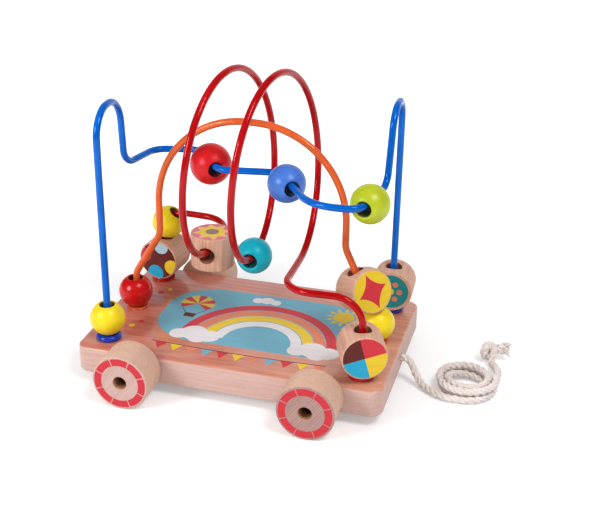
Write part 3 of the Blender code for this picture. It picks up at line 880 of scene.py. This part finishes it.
def blue_line():
    foot, low, top = -wire_foot_depth, 115.0, 166.0
    rise = [(-1, -1, foot), (-1, -1, top), (-1.02, -0.19, top), (-1.016, -0.135, low)]
    winding = [(-0.935, 0.60, low), (-0.576, 0.77, low), (-0.299, 0.058, low), (0.163, 0.21, low)]
    winding += [(0.554, -0.79, low), (0.913, -0.77, low)]
    fall = [(1.0, 0.154, low), (1.01, 0.346, top), (1, 1, top), (1, 1, foot)]
    radii = (20, 20, 12, 14, 14, 12, 12, 30, 12, 12, 16, 16)
    return bent_wire([over_board(*share) for share in rise + winding + fall], radii)


def orange_line():
    foot, top = -wire_foot_depth, 153.0
    rise = [(-1, 0, foot), (-1, 0, 28.0), (-0.777, 0, 62.0), (-0.777, 0, top)]
    fall = [(0.723, 0, top), (0.723, 0, 69.0), (1, 0, 14.0), (1, 0, foot)]
    return bent_wire([over_board(*share) for share in rise + fall], (15, 18, 66, 66, 18, 15))


def loop_point(turn):
    """A point of the red double loop; turn runs from -1 to 1."""
    half_depth, half_height, low, pitch, lean = 57.5, 66.5, 55.0, 33.4, 0.09
    angle = 2 * pi * turn
    y = -half_depth * sin(angle)
    z = deck + low + half_height * (1 - cos(angle))
    return Vector((pitch * turn + lean * y, y, z))


def red_line():
    low = loop_point(1)
    entry_step, entry_height, corner_height = 1.6, 56.5, 58.0
    entry = Vector((low.x + entry_step, -foot_y, deck + entry_height))
    corners = [low, entry, over_board(1, -1, corner_height), over_board(1, -1, -wire_foot_depth)]
    end = bent_wire(corners, (22, 20))
    steps = 240
    loops = [loop_point(2 * step / steps - 1) for step in range(1, steps)]
    start = [Vector((-point.x, -point.y, point.z)) for point in reversed(end)]
    return start + loops + end


def make_wires():
    """Three coated wires and the plastic collars round their feet."""
    wires = {
        "blue": (blue_line(), (0.001, 0.12, 0.57), (0.25, 0.6, 1.0)),
        "orange": (orange_line(), (0.76, 0.115, 0.027), (1.0, 0.7, 0.4)),
        "red": (red_line(), (0.46, 0.003, 0.005), (1.0, 0.33, 0.36)),
    }
    for colour, (line, paint, shine) in wires.items():
        bar = swept(line, [wire_radius] * len(line), 28)
        wire = add_piece(f"coated_{colour}_wire", bar, wire_coat(f"coat_{colour}", paint, shine))
        dress(wire, ROOT, f"{colour}_wire_coat", f"{colour}_wire")
    plastics = {"blue": (0.007, 0.04, 0.42), "orange": (0.72, 0.11, 0.035), "red": (0.52, 0.006, 0.010)}
    for colour, plastic in plastics.items():
        finish = gloss_plastic(f"collar_plastic_{colour}", plastic)
        for end in ("front", "rear"):
            node = f"{colour}_collar_{end}"
            low, high = box_mm(node)
            place = (low + high) / 2
            place.z = low.z
            ring = turned(collar_profile((high.x - low.x) / 2, high.z - low.z), 96)
            collar = add_piece(f"moulded_{node}", ring, finish, Matrix.Translation(place))
            dress(collar, ROOT, f"{colour}_collar_plastic", node)


def collar_profile(radius, height):
    """A full rounded ring with a small dip round the wire."""
    inner = wire_radius + fit_gap
    crown = min(2.9, 0.68 * height)
    foot = 0.27 * height
    dip = 0.06 * height
    lip, dip_edge, dip_floor = 0.3, 4.6, 3.9
    profile = [(inner, 0.0)] + arc(radius - foot, foot, foot, -90, 0, 4)
    profile += arc(radius - crown, height - crown, crown, 0, 90, 12)
    profile += [(dip_edge, height - 0.2 * dip), (dip_floor, height - dip)]
    return profile + arc(inner + lip, height - dip - lip, lip, 90, 180, 3)


# Beads and discs


def bore_way(node):
    """The direction of the hole through a bead or disc, from the way it moves on its wire."""
    joint = joints[node]
    if joint["type"] == "slide" or node in ("bead_yellow_foot", "disc_dots"):
        return Vector(joint["axis"])
    arm = middle(node) - Vector(joint["pos_m"]) / MM
    return Vector(joint["axis"]).cross(arm).normalized()


def make_beads():
    """Turned and sprayed beads with a rounded lip at each end of the bore."""
    lip = 1.0
    paints = {
        "yellow": lacquer("paint_yellow", (0.98, 0.725, 0.009), (1.0, 0.9, 0.4)),
        "red": lacquer("paint_red", (0.60, 0.002, 0.002), (1.0, 0.40, 0.45), 0.2),
        # The large bead's red is lighter than the foot bead's: partly its own satin paint, partly painted
        # light for its brightly lit top
        "red_large": lacquer("paint_red_satin_with_painted_light", (0.76, 0.003, 0.006), (1.0, 0.40, 0.45)),
        "blue": lacquer("paint_blue", (0.055, 0.18, 0.66), (0.55, 0.7, 1.0)),
        "green": lacquer("paint_green", (0.49, 0.57, 0.010), (0.95, 1.0, 0.55)),
        "teal": lacquer("paint_teal", (0.002, 0.47, 0.61), (0.3, 0.9, 1.0)),
    }
    for kind, diameter in bead_diameters.items():
        node = f"bead_{kind}"
        radius = diameter / 2
        lip_height = sqrt((radius - lip) ** 2 - (bore_radius + lip) ** 2)
        rim = degrees(atan2(lip_height, bore_radius + lip))
        profile = arc(0, 0, radius, -rim, rim, 44)
        profile += arc(bore_radius + lip, lip_height, lip, rim, 180, 9)[1:]
        profile += [(bore_radius, lip_height * share) for share in (0.5, 0.0, -0.5)]
        profile += arc(bore_radius + lip, -lip_height, lip, 180, 360 - rim, 9)[:-1]
        colour = kind.split("_")[0]
        paint = paints.get(kind, paints[colour])
        place = frame_at(middle(node), bore_way(node))
        bead = add_piece(f"painted_{node}", turned(profile, 88), paint, place, soft_crease)
        dress(bead, node, f"{colour}_paint", node)


def facing(turn):
    """A level direction, turned by degrees from the near side towards the pull end."""
    angle = radians(turn)
    return Vector((sin(angle), -cos(angle), 0))


def disc_wood(name, shift):
    """A disc's beech with painted shade inside the bore, which runs along the disc's own Y axis."""
    finish = Finish(name)
    along_z = ((0, radians(90), 0), shift)
    colour, streaks, fine = grain(finish, DISC_BEECH, 0.32, DISC_GROWTH, along_z)
    own = finish.axes()
    bore = disc_bore_radius / disc_radius
    in_bore = finish.near_axis(own["X"], own["Z"], disc_radius, bore + 0.004, bore + 0.026)
    return turned_wood(finish, finish.mix(in_bore, colour, BORE_PAINTED_SHADE), streaks, fine)


def make_discs():
    """Thick wooden discs, drilled across from rim to rim, with printed faces."""
    edge = 1.0
    rim = disc_radius - edge
    profile = arc(rim, -disc_half + edge, edge, -90, 0, 7) + arc(rim, disc_half - edge, edge, 0, 90, 7)
    blank = turned_capped(profile, 120)
    turns = {"disc_dots": -5.0, "disc_quarters": 22.0, "disc_plain": 3.0, "disc_star": 50.0}
    for index, node in enumerate((*turns, "disc_daisy")):
        way = bore_way(node)
        face = facing(turns[node]) if node in turns else Vector((0, 0, 1))
        face = (face - way * face.dot(way)).normalized()
        centre = middle(node)
        place = frame_at(centre, face, way.cross(face) if node in turns else face.cross(way))
        wood = disc_wood(f"beech_{node}", (0.03 * index, 0.011 * index, 0.02))
        disc = add_piece(f"turned_{node}", blank, wood, place)
        cut(disc, [drill(centre - way * disc_radius, way, disc_bore_radius, 2 * disc_radius + 1, 64)])
        soften_bore(disc, place, centre, way)
        dress(disc, node, "beech_wood", node)
        print_disc(node, place @ Matrix.Translation((0, 0, disc_half)), rim - 0.1)


def soften_bore(disc, place, centre, way):
    """Rounds the two mouths of a disc's cross bore."""
    softening, least_step, tolerance = 0.45, 0.16, 0.05
    mouth_angle = radians(40)
    mould = bmesh.new()
    mould.from_mesh(disc.data)
    back = place.inverted()
    hub = back @ centre * MM
    axis = back.to_3x3() @ way

    def on_bore(corner):
        reach = corner.co - hub
        return abs((reach - axis * reach.dot(axis)).length / MM - disc_bore_radius) < tolerance

    corners = [corner for corner in mould.verts if on_bore(corner)]
    bmesh.ops.remove_doubles(mould, verts=corners, dist=least_step * MM)
    mouths = []
    for edge in mould.edges:
        if all(map(on_bore, edge.verts)) and edge.is_manifold and edge.calc_face_angle() > mouth_angle:
            mouths.append(edge)
    bmesh.ops.bevel(mould, geom=mouths, offset=softening * MM, segments=2, profile=0.5, affect="EDGES")
    mould.to_mesh(disc.data)
    mould.free()
    smooth(disc.data, bore_crease)


def print_disc(node, face, radius):
    """The pattern on a disc's printed face, inside radius."""
    kind = node.removeprefix("disc_")

    def lay(name, outline, colour, layer=0):
        printed(f"{kind}_{name}", [outline], face, colour, node, layer)

    ground = circle(0, 0, radius, 96)
    if kind == "dots":
        lay("ground", ground, "brown")
        spots = {
            "pale_blue": (0.20, 0.80, 0.40),
            "yellow": (0.80, -0.30, 0.42),
            "cyan": (-0.16, -0.74, 0.44),
            "red": (-0.82, 0.22, 0.42),
        }
        window = circle(0, 0, radius - 0.02, 180)
        for colour, (x, y, size) in spots.items():
            lay(colour, clipped(circle(x * radius, y * radius, size * radius), window), colour, 1)
    elif kind == "quarters":
        for index, colour in enumerate(("red", "brown", "cyan", "yellow")):
            start = 15.0 + 90.0 * index
            lay(colour, ring_part(0, 0, 0.01, radius, start, start + 90), colour)
    elif kind == "star":
        lay("ground", ground, "yellow")
        lay("red", hollow_star(4, 0.81 * radius, 0.91 * radius, 0.15 * radius), "red", 1)
    elif kind == "plain":
        radius *= 0.9
        lay("ground", circle(0, 0, radius, 96), "teal")
        centres = [on_circle(0.5 * radius, k * pi / 3) for k in range(6)]
        petals = [circle(x, y, 0.16 * radius, 32) for x, y in centres]
        printed("plain_petals", petals, face, "coral", node, layer=1)
        lay("centre", circle(0, 0, 0.2 * radius, 40), "yellow", 1)
    else:
        petal_turn = 22.5
        curve = 0.03 * radius
        lay("ground", ground, "pink")
        lay("rim", star_outline(8, 0.97 * radius, 0.60 * radius, petal_turn, curve), "peach", 1)
        lay("flower", star_outline(8, 0.84 * radius, 0.53 * radius, petal_turn, curve), "yellow", 2)
        lay("centre", circle(0, 0, 0.33 * radius, 48), "grey", 3)


# Rope


coil_centre = (157.0, 0.5)
coil_least_radius = 12.2
coil_pitch = 6.1
coil_start_angle = -99.0
coil_turned_in = 600.0
coil_turned = 1190.0
rope_rest = rope_radius + 0.1


def length_of(points):
    return sum((q - p).length for p, q in zip(points, points[1:]))


def coil_point(turned_by):
    """Centre of the rope after it has turned so many degrees: in on the floor, up a layer, out on top."""
    turn_back, climb, layer_gap = 35.0, 180.0, 0.5
    from_middle = hypot(turned_by - coil_turned_in, turn_back) - turn_back
    radius = coil_least_radius + coil_pitch * from_middle / 360
    angle = radians(turned_by + coil_start_angle)
    climbed = min(max((turned_by - coil_turned_in) / climb + 0.5, 0.0), 1.0)
    height = rope_rest + (2 * rope_radius + layer_gap) * climbed * climbed * (3 - 2 * climbed)
    return Vector((*on_circle(radius, angle, *coil_centre), height))


def smooth_line(route, spacing):
    """Points at even steps along a smooth curve through the route points."""
    ends = [2 * route[0] - route[1], *route, 2 * route[-1] - route[-2]]
    pieces = 20
    fine = []
    for a, b, c, d in zip(ends, ends[1:], ends[2:], ends[3:]):
        for step in range(pieces):
            t = step / pieces
            cubic = (2 * b) + (c - a) * t + (2 * a - 5 * b + 4 * c - d) * t**2
            fine.append((cubic + (3 * b - a - 3 * c + d) * t**3) / 2)
    fine.append(route[-1])
    total = length_of(fine)
    count = max(2, round(total / spacing))
    points = [fine[0]]
    walked = 0.0
    for p, q in zip(fine, fine[1:]):
        stretch = (q - p).length
        while len(points) < count and walked + stretch >= len(points) * total / count:
            points.append(p.lerp(q, (len(points) * total / count - walked) / stretch))
        walked += stretch
    return points + [fine[-1]]


def rope_route():
    """The rope's own points from its hole in the board to the knot, and its direction there."""
    end = board_high.x
    fall = [(end, 0, board_middle.z), (end + 4.9, -0.6, 17.0), (end + 8.4, -2.1, 14.0)]
    fall += [(end + 13.0, -5.6, 7.4), (126.4, -8.4, 4.2)]
    lead = [(129.8, -11.2), (134.6, -15.1), (139.5, -18.3), (145.5, -20.5)]
    fall += [(x, y, rope_rest) for x, y in lead]
    before_coil, coil_steps = 5.8, 79
    start = coil_point(0)
    arriving = (coil_point(15) - start).normalized()
    route = [Vector(point) for point in fall] + [start - arriving * before_coil]
    route += [coil_point(coil_turned * step / coil_steps) for step in range(coil_steps + 1)]
    loose_end = [(178.3, 12.5, 8.5), (176.9, 20.5, 6.9), (174.6, 28.0, 4.6), (172.2, 34.5, rope_rest + 0.3)]
    route += [Vector(point) for point in loose_end]
    leaving = route[-1] - route[-2]
    lift, last_step = 0.35, 5.5
    rising = (Vector((leaving.x, leaving.y, 0)).normalized() + Vector((0, 0, lift))).normalized()
    route.append(route[-1] + rising * last_step)
    return route, rising


def rope_yarns(path, swell=1.0, fray=None):
    """Three strands, each of four yarns, twisted round a path and loose over a length of fray at its end."""
    strand_off, yarn_off, yarn_radius = (swell * size for size in (1.22, 0.66, 0.90))
    lay, yarn_lay, unevenness, splay_out, lean_out = 15.0, 8.0, 0.10, 0.9, 1.6
    frames = carried_frames(path)
    along = [0.0]
    for p, q in zip(path, path[1:]):
        along.append(along[-1] + (q - p).length)
    chance = random.Random(7)
    yarns = []
    for strand in range(3):
        for yarn in range(4):
            line = []
            radii = []
            splay = chance.uniform(0.6, 1.7)
            lean = Vector((chance.uniform(-1, 1), chance.uniform(-1, 1), chance.uniform(-0.6, 1)))
            for point, (_, normal, other), walked in zip(path, frames, along):
                angle = 2 * pi * (walked / lay + strand / 3)
                out = spoke(angle, normal, other)
                around = cos(angle) * other - sin(angle) * normal
                twist = -2 * pi * walked / yarn_lay + pi / 2 * yarn
                uneven = unevenness * noise.noise(Vector((walked * 0.35, strand * 7.1, yarn * 3.3)))
                loose = max(0.0, 1 - (along[-1] - walked) / fray) if fray else 0.0
                spread = 1 + uneven + splay_out * splay * loose
                spot = point + strand_off * spread * out
                spot += yarn_off * spread * spoke(twist, out, around)
                line.append(spot + lean * lean_out * loose * loose)
                radii.append(yarn_radius * (1 + 0.6 * uneven) * (1 - 0.3 * loose))
            yarns.append(swept(line, radii, 7))
    return joined(yarns)


def fuzz(path, count, reach, seed):
    """Loose fibres that stand off a rope, as thin three-sided hairs."""
    chance = random.Random(seed)
    frames = carried_frames(path)
    root_radius, curl_share, floor_gap = 2.2, 0.35, 0.1
    radii = {0: 0.055, 0.3: 0.05, 0.6: 0.045, 0.8: 0.04, 1: 0.02}
    hairs = []
    for _ in range(count):
        index = chance.randrange(len(path))
        tangent, normal, other = frames[index]
        out = spoke(chance.uniform(0, 2 * pi), normal, other)
        heading = (out * chance.uniform(0.3, 1.0) + tangent * chance.uniform(-1, 1)).normalized()
        curl = Vector((chance.uniform(-1, 1), chance.uniform(-1, 1), chance.uniform(-0.4, 0.8)))
        length = chance.uniform(0.4, 1.0) * reach
        root = path[index] + out * root_radius
        line = []
        for share in radii:
            line.append(root + heading * length * share + curl * curl_share * length * share**2)
        if min(spot.z for spot in line) > floor_gap:
            hairs.append(swept(line, radii.values(), 3))
    return joined(hairs)


def knot_path(mouth, rising):
    """An overhand wrap: up on the far side, over, down in front, round behind and out as the tail."""
    level = Vector((rising.x, rising.y, 0)).normalized()
    core_ahead = 5.4
    core = mouth + level * core_ahead
    sideways = Vector((0.965, 0.263, 0))
    behind = Vector((-0.263, 0.965, 0))
    over = [(2.2, -2.6, 6.6), (2.6, -0.3, 10.0), (0.4, 0.8, 12.9), (-2.7, -0.6, 12.6)]
    under = [(-4.4, -1.7, 8.9), (-3.6, -1.3, 5.0), (-0.8, 1.6, 3.4), (2.6, 3.0, 5.2)]
    tail = [(4.8, 2.0, 8.4), (7.6, 1.6, 9.6), (11.0, 2.0, 9.4), (14.5, 2.8, 8.8)]
    route = [mouth]
    for u, v, height in over + under + tail:
        spot = core + sideways * u + behind * v
        route.append(Vector((spot.x, spot.y, height)))
    return smooth_line(route, 0.7)


def make_rope():
    """The cotton pull rope with its lay, its knot, frayed tail and loose fibres."""
    yarn = cotton("cotton_yarn")

    def add_yarn(name, shape, *nodes):
        return dress(add_piece(name, shape, yarn, None, soft_crease), ROOT, "cotton_rope", *nodes)

    route, rising = rope_route()
    path = smooth_line(route, 0.75)
    rope = add_yarn("pull_rope", rope_yarns(path), "rope_lead", "rope_coil")
    end_path = knot_path(path[-1] + rising * 0.2, rising)
    knot = add_yarn("pull_rope_knot", rope_yarns(end_path, swell=1.2, fray=8.5), "rope_end_knot")
    # Stretches of rope with their number of loose fibres, the reach of these and a seed
    hairy = ((path, 420, 3.2, 11), (end_path, 120, 3.0, 12), (end_path[-11:], 260, 5.0, 13))
    hairs = add_yarn("pull_rope_fibres", joined([fuzz(*stretch) for stretch in hairy]))


# Studio, in metres


def make_floor():
    """A pale floor that stays white to the camera and keeps the toy's soft shadow; its glow grows away from
    a point in front of the toy's left end, painted light that lightens the toy's shadow towards the back and
    right.
    """
    reach = 4.0
    under_toy = 0.0002
    shadow_centre = (-0.07, -0.07, 0)
    shadow_glow, open_glow, shadow_end, open_start = 0.27, 0.75, 0.17, 0.5
    corners = [(-reach, -reach, 0), (reach, -reach, 0), (reach, reach, 0), (-reach, reach, 0)]
    mesh = bpy.data.meshes.new("studio_floor")
    mesh.from_pydata(corners, [], [(0, 1, 2, 3)])
    floor = add_object("studio_floor", mesh)
    floor.location.z = -under_toy
    finish = Finish("studio_floor")
    finish.set(Base_Color=(0.86, 0.86, 0.87, 1), Roughness=0.9, Specular_IOR_Level=0.1)
    rays = finish.node("LightPath").outputs
    seen = finish.maths("MAXIMUM", rays["Is Camera Ray"], rays["Is Glossy Ray"])
    own = finish.node("TexCoord").outputs["Object"]
    away = finish.operate("VectorMath", "DISTANCE", (own, shadow_centre))["Value"]
    # Painted light: the glow grows away from a point in front of the toy's left end and lightens the toy's
    # shadow towards the back and right
    fade = finish.between(away, shadow_glow, open_glow, shadow_end, open_start)
    fade.node.interpolation_type = "SMOOTHSTEP"
    finish.set(Emission_Color=(1, 1, 1, 1), Emission_Strength=finish.maths("MULTIPLY", seen, fade))
    mesh.materials.append(finish.material)


def make_light():
    """A white backdrop behind the toy, a dark studio in front of it and two soft boxes."""
    surround_light, dark_side, backdrop, dark_end, backdrop_start = 0.5, 0.04, 1.0, 0.55, 0.95
    world = bpy.data.worlds.new("studio")
    bpy.context.scene.world = world
    world.use_nodes = True
    studio = Nodes(world.node_tree, "Background")
    rays = studio.node("LightPath").outputs
    way = studio.node("TexCoord").outputs["Generated"]
    to_back = studio.node("SeparateXYZ", Vector=way).outputs["Y"]
    mirrored = studio.between(to_back, dark_side, backdrop, dark_end, backdrop_start)
    seen = studio.maths("MAXIMUM", rays["Is Camera Ray"], rays["Is Transmission Ray"])
    in_gloss = studio.choose(rays["Is Glossy Ray"], surround_light, mirrored)
    studio.set(Color=(1, 1, 1, 1), Strength=studio.choose(seen, in_gloss, backdrop))
    aim = Vector((0.02, 0, 0.09))
    boxes = {"key_box": ((-0.645, -0.823, 0.566), 6.5), "side_box": ((0.57, -0.376, 1.017), 5.5)}
    for name, (place, power) in boxes.items():
        lamp = bpy.data.lights.new(name, "AREA")
        lamp.size = 0.36
        lamp.energy = power
        box = add_object(name, lamp)
        box.location = place
        box.rotation_euler = (aim - Vector(place)).to_track_quat("-Z", "Y").to_euler()


def make_camera():
    """The photograph's view: turned 15 degrees to the pull end and looking down 25 degrees."""
    place = (0.2237146, -0.6948646, 0.4152792)
    azimuth, elevation, roll = (radians(angle) for angle in (15.2706, 25.0172, 0.9257))
    lens = bpy.data.cameras.new("photo_view")
    lens.sensor_fit = "HORIZONTAL"
    lens.sensor_width = 36.0
    lens.lens = 67.4025
    lens.clip_start = 0.05
    camera = add_object("photo_view", lens)
    aimed = Matrix.Rotation(azimuth, 4, "Z") @ Matrix.Rotation(pi / 2 - elevation, 4, "X")
    camera.matrix_world = Matrix.Translation(place) @ aimed @ Matrix.Rotation(roll, 4, "Z")
    bpy.context.scene.camera = camera


make_camera()
make_board()
make_deck_print()
make_wheels()
make_wires()
make_beads()
make_discs()
make_rope()
make_floor()
make_light()
bpy.context.scene.view_settings.view_transform = "Standard"
